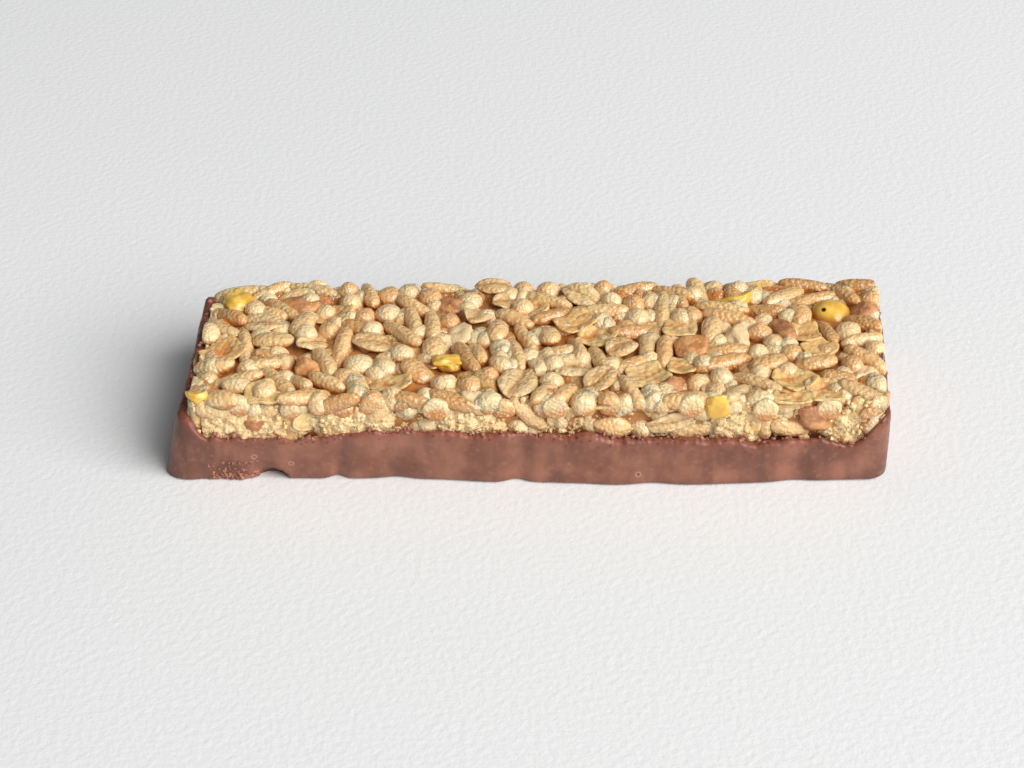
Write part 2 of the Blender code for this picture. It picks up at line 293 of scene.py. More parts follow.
def cut_back(point, trim):
    """Moves a point that lies outside the slab back to its sides, its round corners and its top."""
    at = point.xy
    for start, _, normal in SIDES:
        at -= normal * max((at - start).dot(normal) - trim, 0)
    for centre, before, normal in ARCS:
        arm = at - centre
        if arm.dot(before) > 0 and arm.dot(normal) > 0 and arm.length > CORNER_ROUND + trim:
            at = centre + arm.normalized() * (CORNER_ROUND + trim)
    return Vector((*at, min(point.z, TOP)))


def depth_at(point):
    """How deep a point lies under the nearest side or the top, from 0 at the surface to 1."""
    depth = TOP - point.z
    for start, _, normal in SIDES:
        depth = min(depth, -(point.xy - start).dot(normal))
    return min(max(depth / DEEP, 0), 1)


def rim_height(at, normal):
    """How high the chocolate climbs: low along the sides, high at the ends."""
    height = RIM_SIDE - RIM_FALL * at.x
    if normal.y < 0:
        height -= RIM_LOW * (smooth(*RIM_LOW_START, at.x) - smooth(*RIM_LOW_END, at.x))
    left_end = RIM_LEFT_END - RIM_LEFT_CORNER_DROP * smooth(-6 * MM, -16 * MM, at.y)
    height += (left_end - height) * max(0, -normal.x) ** 2
    height += (RIM_RIGHT_END - height) * smooth(FRONT_RIGHT.x - 5 * MM, FRONT_RIGHT.x, at.x)
    return height + RIM_UNEVEN * noise.noise(Vector((at.x, at.y, 0)) / (4 * MM))


def wall_out(at, normal, height):
    """How far the chocolate's outer face stands out from the slab's side at a height."""
    low = 1 - height / TOP
    bulge = FOOT_BULGE * math.exp(-(((at.x - FOOT_BULGE_X) / FOOT_BULGE_REACH) ** 2))
    left = max(0, -normal.x) ** 3 * LEFT_END_SPREAD
    front = max(0, -normal.y) * (bulge - FOOT_TUCK)
    ripple = RIPPLE * noise.noise(Vector((at.x, at.y, 0.6 * height)) / RIPPLE_LENGTH)
    return WALL_OUT + low * (left + front) + ripple - fold_depth(at, normal, height)


def fold_depth(at, normal, height):
    """How far the chocolate sinks in along its soft folds, which lean a little and open towards the foot."""
    folds = 0.0
    for place, deep, half_width in FOLDS:
        away = (at.x - place * MM - 0.12 * height) / (half_width * MM)
        folds += deep * MM * math.exp(-(away**2))
    waves = 0.35 * MM * (1 + noise.noise(Vector((at.x, at.y, 0.2 * height)) / (5 * MM)))
    depth = waves + (folds - waves) * smooth(0.2, 0.9, -normal.y)
    return depth * (0.55 + 0.45 * smooth(8 * MM, 1 * MM, height))


# Materials: arithmetic on sockets

def linear(red, green, blue):
    """A colour seen on a screen, 0 to 255, as the linear light that a shader takes."""
    channels = [c / 255 for c in (red, green, blue)]
    return (*(c / 12.92 if c <= 0.04045 else ((c + 0.055) / 1.055) ** 2.4 for c in channels), 1)


class Wire:
    """A socket of a material's tree. Arithmetic on it adds Math nodes."""

    def __init__(self, tree, socket=None):
        self.tree = tree
        self.socket = socket

    def node(self, kind, settings=None, outputs=0, **values):
        """Adds a node: its settings first, then what its sockets hold or are linked to."""
        made = self.tree.nodes.new(kind)
        for name, value in (settings or {}).items():
            setattr(made, name, value)
        for name, value in values.items():
            key = int(name[1:]) if name[1:].isdigit() else name.replace("_", " ")
            socket = made.inputs[key]
            if isinstance(value, Wire):
                self.tree.links.new(value.socket, socket)
            else:
                socket.default_value = value
        return Wire(self.tree, made.outputs[outputs])

    def maths(self, operation, *values):
        """Adds a Math node."""
        numbered = {f"i{i}": value for i, value in enumerate(values)}
        return self.node("ShaderNodeMath", {"operation": operation}, **numbered)

    def __add__(self, other):
        return self.maths("ADD", self, other)

    def __sub__(self, other):
        return self.maths("SUBTRACT", self, other)

    def __rsub__(self, other):
        return self.maths("SUBTRACT", other, self)

    def __mul__(self, other):
        return self.maths("MULTIPLY", self, other)

    __radd__ = __add__
    __rmul__ = __mul__

    def step(self, low, high):
        """0 below low, 1 above high, easing in between."""
        settings = {"interpolation_type": "SMOOTHSTEP"}
        return self.node("ShaderNodeMapRange", settings, Value=self, From_Min=low, From_Max=high)

    def mix(self, mask, first, second):
        """A colour between two colours."""
        return self.node("ShaderNodeMix", {"data_type": "RGBA"}, outputs=2, i0=mask, i6=first, i7=second)

    def noise(self, place, size, detail=3.0, roughness=0.5):
        """Cloudy noise whose lumps measure about size."""
        values = {"Vector": place, "Scale": 1 / size, "Detail": detail, "Roughness": roughness}
        return self.node("ShaderNodeTexNoise", **values)

    def cells(self, place, size):
        """Distance to scattered points that lie about size apart, in units of size."""
        return self.node("ShaderNodeTexVoronoi", Vector=place, Scale=1 / size)

    def part_of(self, axis):
        """One of a vector's three numbers."""
        return self.node("ShaderNodeSeparateXYZ", outputs=axis, Vector=self)

    def away_from(self, point):
        """Distance of a place from a point."""
        return self.node("ShaderNodeVectorMath", {"operation": "DISTANCE"}, outputs=1, i0=self, i1=point)

    def attribute(self, name):
        """A number that the piece's points carry."""
        return self.node("ShaderNodeAttribute", {"attribute_name": name}, outputs=2)

    def own_place(self):
        """A point's place on its own grain, between -1 and 1 along, across and up."""
        return self.node("ShaderNodeAttribute", {"attribute_name": "own"}, outputs=1)

    def groove(self):
        """1 along the middle line of the point's own grain, 0 away from it."""
        return 1 - self.maths("ABSOLUTE", self.own_place().part_of(1)).step(0.02, 0.16)

    def own_rim(self):
        """1 at the rim of the point's own grain, 0 towards its middle."""
        return self.own_place().away_from((0, 0, 0)).step(0.75, 1.05)

    def own_height(self):
        """How high a point lies on its own grain, from -1 to 1."""
        return self.own_place().part_of(2)


def new_material(name, roughness, **constants):
    """A material with its shader's constants set: its tree's wire, its shader and the Object coordinates."""
    material = bpy.data.materials.new(name)
    material.use_nodes = True
    tree = material.node_tree
    shader = tree.nodes["Principled BSDF"]
    shader.inputs["Roughness"].default_value = roughness
    for key, value in constants.items():
        shader.inputs[key.replace("_", " ")].default_value = value
    wire = Wire(tree)
    place = wire.node("ShaderNodeTexCoord", outputs=3)
    return material, wire, shader, place


def feed(wire, shader, socket, value):
    """Links a value to one of the shader's sockets."""
    wire.tree.links.new(value.socket, shader.inputs[socket])


def bumped(wire, shader, height, strength, distance):
    """Feeds the shader's Normal with a Bump of that height."""
    bump = wire.node("ShaderNodeBump", Strength=strength, Distance=distance, Height=height)
    feed(wire, shader, "Normal", bump)


def sugar_specks_and_painted_glints(wire, place, size):
    """Small pale spots, partly sugar and bubbles and partly painted glints, gathered here and there."""
    spots = 1 - wire.cells(place, size).step(0.12, 0.34)
    return spots * wire.noise(place, 3 * size, 1.0).step(0.42, 0.6)


def grain_material(name, pale, warm, glassy, deep, bubble, rise, gloss, soft, clear):
    """A translucent, bubbled grain: pale, warm or glassy in its own tone, darker in syrup colour towards its
    foot, deeper in and between its bubbles, partly syrup and partly painted shade.
    """
    material, wire, shader, place = new_material(
        name, 0.27, Subsurface_Weight=soft, Subsurface_Radius=(1.0, 0.82, 0.62), Subsurface_Scale=1.1 * MM,
        Coat_Roughness=0.12,
    )
    tone = wire.attribute("tone")
    depth = wire.attribute("depth")
    cloud = wire.noise(place, 2.2 * MM)
    body = wire.mix((tone * 0.75 + cloud * 0.6 - 0.2).step(0.15, 0.95), linear(*pale), linear(*warm))
    body = wire.mix(tone.step(0.7, 0.78) * 0.75, body, linear(*glassy))
    # Painted shade: each grain is darker lower down and paler towards its lit top.
    edge = (cloud * 0.9 + 0.25 - wire.own_height()).step(0.0, 1.4)
    between = wire.cells(place, bubble).step(0.1, 0.8)
    # The stain is partly syrup and partly painted shade: darker lower on the grain, deeper under the surface
    # and between the bubbles.
    stain = (edge + depth * 0.8 + between * 0.25 - clear).step(0.0, 1.0)
    colour = wire.mix(stain, body, linear(*deep))
    # Pale specks: partly sugar and bubbles, partly painted glints.
    colour = wire.mix(sugar_specks_and_painted_glints(wire, place, 0.5 * MM) * 0.75, colour, linear(255, 250, 228))
    feed(wire, shader, "Base Color", colour)
    feed(wire, shader, "Coat Weight", wire.noise(place, 3.1 * MM).step(0.3, 0.6) * gloss)
    bumped(wire, shader, wire.noise(place, 0.35 * MM, 2.0) * 0.4 - between, 0.7, rise)
    return material


def crumb_material():
    """The pale, porous crumb of broken puffs, with painted shade in its pores."""
    material, wire, shader, place = new_material(
        "pale_crumb", 0.5, Subsurface_Weight=0.45, Subsurface_Radius=(1.0, 0.74, 0.46),
        Subsurface_Scale=0.7 * MM,
    )
    tone = wire.noise(place, 3.1 * MM)
    cloud = wire.noise(place, 1.1 * MM, 4.0)
    warmth = (tone * 0.7 + cloud * 0.8 - 0.3).step(0.1, 0.9)
    body = wire.mix(warmth, linear(255, 228, 180), linear(250, 202, 140))
    pores = 1 - wire.cells(place, 0.5 * MM).step(0.1, 0.4)
    # Painted shade: the pores are painted darker.
    colour = wire.mix(pores * 0.6, body, linear(208, 150, 82))
    feed(wire, shader, "Base Color", colour)
    bumped(wire, shader, cloud * 0.6 - pores, 0.8, 0.2 * MM)
    return material


def oat_material():
    """A rolled flake: tan bran with fine streaks, blisters, a groove along it and a pale rim, darker deeper
    in and lower down, partly syrup and partly painted shade.
    """
    material, wire, shader, place = new_material(
        "rolled_oat", 0.3, Subsurface_Weight=0.3, Subsurface_Radius=(1.0, 0.6, 0.3),
        Subsurface_Scale=1.0 * MM, Coat_Roughness=0.16,
    )
    tone = wire.attribute("tone")
    depth = wire.attribute("depth")
    cloud = wire.noise(place, 1.6 * MM)
    warmth = (tone * 0.8 + cloud * 0.7 - 0.25).step(0.1, 0.9)
    body = wire.mix(warmth, linear(242, 208, 152), linear(220, 176, 116))
    lengthwise = wire.node("ShaderNodeMapping", Vector=wire.own_place(), Scale=(0.8, 5.0, 1.0))
    values = {"Vector": lengthwise, "W": tone * 40, "Scale": 1.5, "Detail": 3.0}
    streaks = wire.node("ShaderNodeTexNoise", {"noise_dimensions": "4D"}, **values)
    body = wire.mix(streaks.step(0.48, 0.7) * 0.3, body, linear(196, 138, 80))
    body = wire.mix(wire.groove() * 0.35, body, linear(172, 112, 58))
    body = wire.mix(wire.own_rim() * 0.3, body, linear(252, 232, 192))
    # Partly syrup and partly painted shade: darker deeper under the surface and lower on the flake.
    stain = (depth * 0.9 + cloud * 0.8 - 0.5 - wire.own_height() * 0.5).step(0.0, 1.0)
    colour = wire.mix(stain, body, linear(176, 110, 52))
    # Pale specks: partly sugar and bubbles, partly painted glints.
    colour = wire.mix(sugar_specks_and_painted_glints(wire, place, 0.5 * MM) * 0.6, colour, linear(252, 236, 204))
    feed(wire, shader, "Base Color", colour)
    feed(wire, shader, "Coat Weight", cloud.step(0.3, 0.6) * 0.7)
    blisters = wire.cells(place, 0.8 * MM).step(0.1, 0.8)
    rough = wire.noise(place, 0.5 * MM, 3.0)
    bumped(wire, shader, streaks * 0.6 + rough * 0.6 - blisters * 0.6, 0.9, 0.3 * MM)
    return material


def nut_material():
    """A broken nut: roasted flesh, patches of pinkish brown skin, and some nuts wholly pale."""
    material, wire, shader, place = new_material(
        "roasted_nut", 0.4, Subsurface_Weight=0.2, Subsurface_Radius=(1.0, 0.55, 0.3),
        Subsurface_Scale=0.8 * MM, Coat_Roughness=0.2,
    )
    tone = wire.attribute("tone")
    cloud = wire.noise(place, 1.8 * MM)
    patches = wire.noise(place, 3.4 * MM, 1.0)
    flesh = wire.mix(cloud.step(0.3, 0.7), linear(236, 180, 120), linear(210, 140, 80))
    skin = wire.mix(cloud.step(0.35, 0.65), linear(210, 150, 104), linear(178, 114, 72))
    colour = wire.mix((patches - tone * 0.3 + 0.2).step(0.5, 0.62), flesh, skin)
    colour = wire.mix(tone.step(0.68, 0.72), colour, linear(244, 214, 166))
    # Pale specks: partly sugar and bubbles, partly painted glints.
    colour = wire.mix(sugar_specks_and_painted_glints(wire, place, 0.6 * MM) * 0.5, colour, linear(248, 218, 176))
    feed(wire, shader, "Base Color", colour)
    feed(wire, shader, "Coat Weight", cloud.step(0.4, 0.7) * 0.4)
    bumped(wire, shader, wire.noise(place, 0.7 * MM, 4.0, 0.6), 0.9, 0.35 * MM)
    return material


def fruit_material(speck_at):
    """Candied yellow fruit: glossy, deeper yellow in places, with painted shade deeper under the surface,
    and with the ball's dark speck.
    """
    material, wire, shader, place = new_material(
        "candied_fruit", 0.3, Subsurface_Weight=0.35, Subsurface_Radius=(1.0, 0.7, 0.15),
        Subsurface_Scale=1.0 * MM, Coat_Roughness=0.12,
    )
    cloud = wire.noise(place, 1.5 * MM)
    depth = wire.attribute("depth")
    body = wire.mix(cloud.step(0.3, 0.7), linear(250, 208, 96), linear(230, 178, 72))
    # Painted shade: darker deeper under the surface.
    colour = wire.mix(depth.step(0.3, 0.8), body, linear(180, 120, 40))
    off_speck = place.away_from(speck_at).step(0.8 * SPECK_RADIUS, 1.3 * SPECK_RADIUS)
    colour = wire.mix(off_speck, linear(58, 44, 20), colour)
    feed(wire, shader, "Base Color", colour)
    feed(wire, shader, "Coat Weight", cloud.step(0.3, 0.6) * 0.6)
    bumped(wire, shader, wire.noise(place, 0.6 * MM, 3.0), 0.35, 0.12 * MM)
    return material


def syrup_material():
    """Set syrup between the grains: amber and glossy, brown where it meets the chocolate."""
    material, wire, shader, place = new_material(
        "set_syrup", 0.25, Subsurface_Weight=0.3, Subsurface_Radius=(1.0, 0.5, 0.15),
        Subsurface_Scale=1.5 * MM, Coat_Roughness=0.1,
    )
    cloud = wire.noise(place, 2.4 * MM)
    amber = wire.mix(cloud.step(0.3, 0.7), linear(206, 140, 78), linear(166, 104, 52))
    brown = 1 - place.part_of(2).step(RIM_SIDE - 1.5 * MM, RIM_SIDE + 0.5 * MM)
    colour = wire.mix(brown, amber, linear(104, 60, 40))
    feed(wire, shader, "Base Color", colour)
    feed(wire, shader, "Coat Weight", cloud.step(0.2, 0.6) * 0.6)
    bumped(wire, shader, wire.noise(place, 0.9 * MM, 3.0), 0.5, 0.3 * MM)
    return material


def chocolate_material():
    """Satin milk chocolate: cloudy, redder at the rim and where scuffed, with rings, pits and scratches;
    painted shade in soft upright bands, towards the left end, and in its pits and rim holes.
    """
    material, wire, shader, place = new_material(
        "milk_chocolate", 0.4, Subsurface_Weight=0.06, Subsurface_Radius=(1.0, 0.5, 0.3),
        Subsurface_Scale=0.6 * MM, Coat_Roughness=0.3,
    )
    cloud = wire.noise(place, 5 * MM, 4.0)
    speck = wire.noise(place, 0.8 * MM, 3.0)
    body = wire.mix(cloud.step(0.3, 0.7), linear(126, 78, 61), linear(164, 108, 86))
    # Painted shade: soft, darker upright bands for the shade of the folds.
    painted_fold_shade_place = wire.node("ShaderNodeMapping", Vector=place, Scale=(1.0, 1.0, 0.3))
    body = wire.mix(wire.noise(painted_fold_shade_place, 3.6 * MM).step(0.4, 0.7) * 0.65, body, linear(98, 60, 50))
    # Painted shade: darker towards the left end, which faces away from the window.
    left = 1 - place.part_of(0).step(-50 * MM, -33 * MM)
    body = wire.mix(left * 0.22, body, linear(98, 62, 54))
    body = wire.mix(speck.step(0.5, 0.8) * 0.35, body, linear(176, 126, 104))
    rim = wire.attribute("rim")
    stain = rim * rim * wire.noise(place, 1.7 * MM, 3.0).step(0.3, 0.6)
    body = wire.mix(stain * 0.8, body, linear(138, 72, 56))
    scuffed = 1 - (place.away_from(SCUFF_AT) + speck * 3 * MM).step(3.2 * MM, 4.4 * MM)
    body = wire.mix(scuffed * 0.7, body, linear(112, 64, 52))
    bubbles = wire.cells(place, 4.6 * MM)
    rings = bubbles.step(0.05, 0.08) - bubbles.step(0.09, 0.13)
    colour = wire.mix(rings * 0.5, body, linear(196, 150, 128))
    # Painted shade: the pits and the holes along the rim are painted dark.
    pits = 1 - bubbles.step(0.02, 0.07)
    rim_hole_shade = rim * (1 - wire.cells(place, 1.1 * MM).step(0.12, 0.32))
    colour = wire.mix((pits + rim_hole_shade) * 0.8, colour, linear(80, 44, 35))
    feed(wire, shader, "Base Color", colour)
    feed(wire, shader, "Roughness", cloud * 0.25 + 0.32)
    streaks = wire.node("ShaderNodeMapping", Vector=place, Scale=(0.15, 0.15, 1.0))
    scratches = wire.noise(streaks, 0.5 * MM, 2.0)
    rough = speck * (scuffed * 1.5 + 0.4)
    bumped(wire, shader, rough + scratches * 0.35 - pits * 0.8, 0.5, 0.18 * MM)
    return material


def crumbled_chocolate_material():
    """Broken chocolate: lighter, redder and duller than the coat."""
    material, wire, shader, place = new_material("crumbled_chocolate", 0.6)
    cloud = wire.noise(place, 0.9 * MM).step(0.35, 0.65)
    colour = wire.mix(cloud, linear(144, 88, 70), linear(184, 126, 102))
    feed(wire, shader, "Base Color", colour)
    bumped(wire, shader, wire.noise(place, 0.3 * MM), 0.6, 0.15 * MM)
    return material


def paper_material():
    """Matt white paper with a faint tooth."""
    material, wire, shader, place = new_material("white_paper", 0.9)
    tooth = wire.noise(place, 1.1 * MM, 4.0)
    colour = wire.mix(wire.noise(place, 0.12, 2.0), linear(240, 242, 244), linear(244, 246, 247))
    feed(wire, shader, "Base Color", colour)
    bumped(wire, shader, tooth, 0.45, 0.25 * MM)
    return material


# Laying the grains

def top_face():
    """The pressed top, bounded by the slab's four sides."""
    edges = tuple((start, normal) for start, _, normal in SIDES)
    return Face(Matrix.Translation((0, 0, TOP)), edges, FRONT_LEFT, BACK_RIGHT)


def side_face(side):
    """The strip of a side that shows above the chocolate, with its places along it counted from X 0."""
    start, end, normal = side
    along = (end - start).normalized()
    foot = start - along * start.dot(along)
    frame_of_side = Matrix((
        (along.x, 0, normal.x, foot.x),
        (along.y, 0, normal.y, foot.y),
        (0, 1, 0, 0),
        (0, 0, 0, 1),
    ))
    low = Vector((start.dot(along), SIDE_LOW))
    high = Vector((end.dot(along), SIDE_HIGH))
    right, up = Vector((1, 0)), Vector((0, 1))
    return Face(frame_of_side, ((low, -right), (low, -up), (high, right), (high, up)), low, high)


def settle(face, centres, turns, halves, loose):
    """Pushes grains apart and turns them until they lie side by side, each taken as three discs in a row."""
    rows = np.array([-1.0, 0.0, 1.0])
    owner = np.repeat(np.arange(len(centres)), len(rows))
    radius = halves[:, 1]
    reach = halves[:, 0] - radius
    wanted = radius[owner][:, None] + radius[owner][None, :]
    apart = owner[:, None] != owner[None, :]
    for _ in range(ROUNDS):
        along = np.stack([np.cos(turns), np.sin(turns)], 1)
        arms = (along[:, None, :] * (reach[:, None] * rows)[:, :, None]).reshape(-1, 2)
        discs = centres[owner] + arms
        gaps = discs[:, None, :] - discs[None, :, :]
        distance = np.hypot(gaps[..., 0], gaps[..., 1]) + 1e-9
        overlap = np.where(apart, np.maximum(wanted - distance, 0), 0)
        push = (gaps / distance[..., None] * overlap[..., None]).sum(1) * 0.5
        for point, normal in face.edges:
            outside = (discs - np.array(point)) @ np.array(normal) + EDGE_ROOM * radius[owner]
            push -= np.outer(np.maximum(outside, 0), np.array(normal))
        twist = arms[:, 0] * push[:, 1] - arms[:, 1] * push[:, 0]
        shift = np.stack([np.bincount(owner, push[:, axis]) for axis in (0, 1)], 1) / 2
        turning = np.bincount(owner, twist) / (4 * (reach**2 + radius**2))
        centres[loose] += shift[loose]
        turns[loose] += turning[loose]


def hollow_round_ball(at):
    """How much lower the grains next to the candied ball lie."""
    return BALL_HOLLOW * smooth(*BALL_HOLLOW_REACH, (at.xy - BALL_AT).length)


def draw_grains(face, layer, cover, seed, standing_out=()):
    """Grains against a face, painted palest on the cut sides as painted light. Those that stand out stay
    where they are.
    """
    rng = np.random.default_rng(seed)
    names = [name for name, *_ in standing_out]
    places = [(x * MM, y * MM) for _, x, y, *_ in standing_out]
    turns = [math.radians(turn) for *_, turn, _ in standing_out]
    halves = [np.array(half) * MM for *_, half in standing_out]
    width, height = face.high - face.low
    room = cover * width * height - sum(4 * half[0] * half[1] for half in halves)
    shares = [kind.share for kind in KINDS]
    while room > 0:
        kind = KINDS[rng.choice(len(KINDS), p=shares)]
        half = np.array(kind.half) * MM * (1 + kind.spread * rng.uniform(-1, 1, 3))
        names.append(kind.name)
        halves.append(half)
        count = len(halves)
        right, up = 0.7549 * count % 1, 0.5698 * count % 1
        places.append((face.low.x + width * right, face.low.y + height * up))
        turns.append(rng.uniform(0, math.pi))
        room -= 4 * half[0] * half[1]
    centres, turns, halves = np.array(places), np.array(turns), np.array(halves)
    settle(face, centres, turns, halves, np.arange(len(names)) >= len(standing_out))
    grains = []
    for name, (x, y), turn, half in zip(names, centres, turns, halves):
        tilt = rng.normal(0, TILT)
        depth = layer["grow"] * half[2] + rng.uniform(0, DIP) + layer["sink"] + 0.4 * half[0] * abs(tilt)
        if name != "fruit":
            depth += hollow_round_ball(face.frame @ Vector((x, y, 0)))
        placing = face.frame @ Matrix.Translation((x, y, -depth)) @ Matrix.Rotation(turn, 4, "Z")
        placing = placing @ Matrix.Rotation(tilt, 4, "Y")
        trim = rng.uniform(-CUT_UNEVEN, CUT_UNEVEN)
        tone = rng.uniform()
        if len(grains) >= len(standing_out):
            name = paler_kind(name, tone)
        elif name == "nut":
            tone *= SKIN_TONE
        # Painted light: grains on the cut sides are made paler.
        if face.frame[2][2] == 0:
            tone *= SIDE_TONE_PAINTED_LIGHT
        if layer["sink"] and tone < BALL_SHARE_BEHIND:
            name, half = "ball", np.full(3, min(1.25 * half[1], BALL_BEHIND))
        grains.append(Grain(name, placing, Vector(half) * layer["grow"], trim, tone))
    return grains


def paler_kind(name, tone):
    """Many of the loose nuts and oats are broken balls and wide puffs, so that pale grains rule."""
    if name == "nut" and tone < BALL_SHARE_OF_NUTS:
        return "ball"
    if name == "oat" and tone < PUFF_SHARE_OF_OATS:
        return "puff"
    return name


def shows(grain, side_number):
    """Whether a side's grain stands clear of the chocolate, and is no flake that would pass the top."""
    centre = grain.placing.translation
    if side_number > 0 and grain.kind == "corn" and centre.z > FLAKES_BELOW:
        return False
    return centre.z > rim_height(centre, SIDES[side_number][2]) - BELOW_RIM


def all_grains():
    """The bits at the front's edge, the grains of the top, and those of the sides that show."""
    grains = [
        Grain(kind, Matrix.Translation(Vector(at) * MM), Vector(half) * MM, 0.2 * MM, 0.5)
        for kind, at, half in AT_EDGE
    ]
    for depth, layer in enumerate(LAYERS):
        top_pieces = ON_TOP if depth == 0 else ()
        grains += draw_grains(top_face(), layer, layer["cover"], layer["seed"], top_pieces)
        for i, side in enumerate(SIDES):
            side_pieces = ON_FRONT if depth == 0 and i == 0 else ()
            seed = layer["seed"] + 12 + i
            drawn = draw_grains(side_face(side), layer, layer["side_cover"], seed, side_pieces)
            grains += [grain for grain in drawn if shows(grain, i)]
    return grains


# The shapes of the grains, each around its own centre, with few faces that a subdivision rounds

def lumps(point, size, seat):
    """Noise between -1 and 1 with lumps of that size."""
    return noise.noise(point / size + seat)


def rice_cage(half, seat):
    """A puffed rice grain with blunt ends, a slight bend, and bubbles that swell it unevenly."""
    bm = bmesh.new()
    bmesh.ops.create_uvsphere(bm, u_segments=8, v_segments=7, radius=1)
    bmesh.ops.rotate(bm, verts=bm.verts, matrix=Matrix.Rotation(math.pi / 2, 3, "Y"))
    round_end = 1 - half.y / half.x
    bend = 0.5 * noise.noise(seat)
    for vert in bm.verts:
        along = vert.co.x
        across = max(math.hypot(vert.co.y, vert.co.z), 1e-6)
        into_end = max(abs(along) - round_end, 0) / (1 - round_end)
        capsule = math.sqrt(max(1 - into_end**2, 0))
        bubbles = 0.34 * noise.noise(vert.co * 1.9 + seat) + 0.2 * noise.noise(vert.co * 4.1 + seat)
        swell = 0.96 * (1 + bubbles)
        wide = (0.55 * capsule + 0.45 * across) / across * swell
        vert.co = (along * 0.98, vert.co.y * wide + bend * (along**2 - 0.4), vert.co.z * wide)
    bmesh.ops.scale(bm, verts=bm.verts, vec=half)
    return bm


def puff_cage(half, seat):
    """A wide, short puff, thicker than the flake whose place it takes."""
    return rice_cage(Vector((0.82 * half.x, 0.82 * half.y, 1.6 * half.z)), seat)


def ball_cage(half, seat):
    """A crisp ball with a faintly bubbled skin."""
    bm = bmesh.new()
    bmesh.ops.create_icosphere(bm, subdivisions=2, radius=1.02)
    for vert in bm.verts:
        vert.co *= 1 + 0.18 * noise.noise(vert.co * 1.4 + seat) + 0.16 * noise.noise(vert.co * 4.1 + seat)
    bmesh.ops.scale(bm, verts=bm.verts, vec=half)
    return bm


def oat_cage(half, seat):
    """A rolled oat: a thin oval flake with a crease along it and a wavy, curled edge."""
    bm = bmesh.new()
    bmesh.ops.create_uvsphere(bm, u_segments=12, v_segments=5, radius=1.08)
    bmesh.ops.scale(bm, verts=bm.verts, vec=half)
    for vert in bm.verts:
        across = vert.co.y / half.y
        edge = (vert.co.x / half.x) ** 2 + across**2
        crease = 0.7 * half.z * math.exp(-((across / 0.2) ** 2))
        vert.co.xy *= 0.86 * (1 + 0.36 * lumps(vert.co, 1.5 * MM, seat))
        vert.co.z = 0.6 * vert.co.z + 0.4 * half.z - crease + 0.25 * half.z * edge * across
        vert.co.z += 0.6 * half.z * lumps(vert.co, 2.6 * MM, seat)
    return bm


def corn_cage(half, seat):
    """A corn flake piece: a thin curled sheet with a ragged, blistered edge."""
    bm = bmesh.new()
    bmesh.ops.create_grid(bm, x_segments=6, y_segments=5, size=1)
    for vert in bm.verts:
        round_off = 1 - 0.16 * vert.co.x**2 * vert.co.y**2
        vert.co.xy *= round_off * (1 + 0.28 * lumps(vert.co * 1.3, 1, seat))
        curl = 0.5 * (vert.co.x**2 + 0.6 * vert.co.y**2)
        vert.co.z = curl + 0.55 * lumps(vert.co * 1.6, 1, seat)
    bmesh.ops.scale(bm, verts=bm.verts, vec=half)
    bmesh.ops.solidify(bm, geom=bm.faces, thickness=0.45 * MM)
    bmesh.ops.recalc_face_normals(bm, faces=bm.faces)
    return bm


def nut_cage(half, seat):
    """A chopped nut: a lump with flat broken faces and fairly sharp ridges."""
    rng = np.random.default_rng(round(seat.x))
    breaks = [(Vector(rng.normal(size=3)).normalized(), rng.uniform(0.62, 0.9)) for _ in range(14)]
    bm = bmesh.new()
    bmesh.ops.create_icosphere(bm, subdivisions=3, radius=1)
    for vert in bm.verts:
        reach = min(depth / max(normal.dot(vert.co), 0.3) for normal, depth in breaks)
        rough = 0.16 * noise.noise(vert.co * 4.5 + seat) + 0.2 * noise.noise(vert.co * 2.3 + seat)
        vert.co *= 1.06 * min(reach, 1.15) + rough
    bmesh.ops.scale(bm, verts=bm.verts, vec=half)
    return bm


def fruit_cage(half, seat):
    """A plump candied fruit ball with soft dents."""
    bm = bmesh.new()
    bmesh.ops.create_icosphere(bm, subdivisions=3, radius=1.02)
    for vert in bm.verts:
        vert.co *= 1 + 0.07 * noise.noise(vert.co * 1.8 + seat)
    bmesh.ops.scale(bm, verts=bm.verts, vec=half)
    return bm


def yellow_cage(half, seat):
    """A torn bit of candied fruit, thick and ragged. A long one is curled into a crescent."""
    bm = bmesh.new()
    bmesh.ops.create_icosphere(bm, subdivisions=3, radius=1.0)
    curl = smooth(1.6, 2.4, half.x / half.y)
    for vert in bm.verts:
        torn = 0.42 * noise.noise(vert.co * 3.1 + seat) + 0.3 * noise.noise(vert.co * 6.3 + seat)
        vert.co *= 1 + 0.3 * noise.noise(vert.co * 1.6 + seat) + torn
        vert.co.y = (1 - 0.45 * curl) * vert.co.y + 1.9 * curl * (vert.co.x**2 - 0.4)
    bmesh.ops.scale(bm, verts=bm.verts, vec=half)
    return bm


CAGES = {
    "rice": rice_cage,
    "puff": puff_cage,
    "ball": ball_cage,
    "oat": oat_cage,
    "corn": corn_cage,
    "nut": nut_cage,
    "fruit": fruit_cage,
    "yellow": yellow_cage,
}


def new_piece(name, bm, material, levels=0):
    """Makes a piece of a bmesh, with its material, and lets it ride on the bar."""
    mesh = bpy.data.meshes.new(name)
    bm.to_mesh(mesh)
    bm.free()
    mesh.materials.append(material)
    mesh.shade_smooth()
    piece = bpy.data.objects.new(name, mesh)
    bpy.context.scene.collection.objects.link(piece)
    if levels:
        rounding = piece.modifiers.new("rounding", "SUBSURF")
        rounding.levels = levels
        rounding.render_levels = levels
    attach(piece, "root")
    return piece


def marked_mesh():
    """An empty bmesh whose points carry their grain's tone, their depth, and their place on the grain."""
    bm = bmesh.new()
    bm.verts.layers.float.new("tone")
    bm.verts.layers.float.new("depth")
    bm.verts.layers.float_vector.new("own")
    return bm


